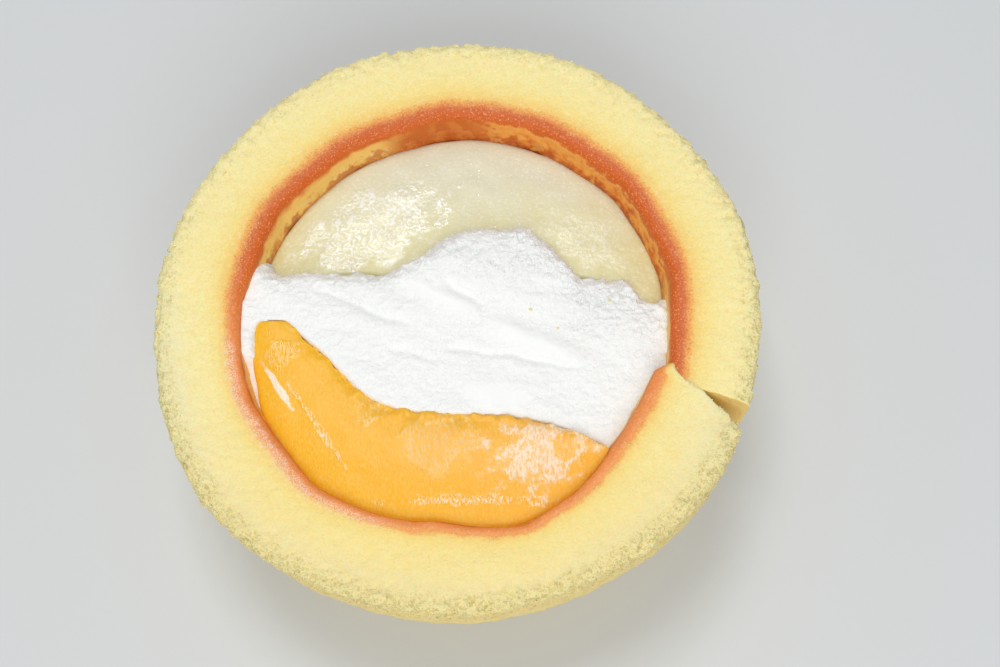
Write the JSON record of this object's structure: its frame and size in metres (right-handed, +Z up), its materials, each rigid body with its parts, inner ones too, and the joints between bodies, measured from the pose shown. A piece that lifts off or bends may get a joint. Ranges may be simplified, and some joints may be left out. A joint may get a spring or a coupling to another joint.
{
  "type": "swiss roll cake",
  "caption": "Round slice of filled sponge roll lying on its cut face: a wrapped sponge strip round whipped cream, with pear and peach slices set into the top.",
  "frame": {"origin": "under the middle of the cake's own box, on the cut face that it lies on", "axes": "+Z up, along the roll's own axis; +X towards the joint of the sponge strip; +Y towards the pear slice"},
  "size_m": [0.0946, 0.0936, 0.0364],
  "materials": {
    "sponge": "open yellow sponge crumb, browned on the side that faces the cream",
    "cream": "whipped cream, smeared with a knife",
    "pear": "wet, grainy, slightly see-through tinned pear",
    "peach": "wet, glossy tinned peach"
  },
  "bodies": {
    "root": {"sponge": "sponge", "cream": "cream", "pear_slice": "pear", "peach_slice": "peach"}
  },
  "joints": []
}
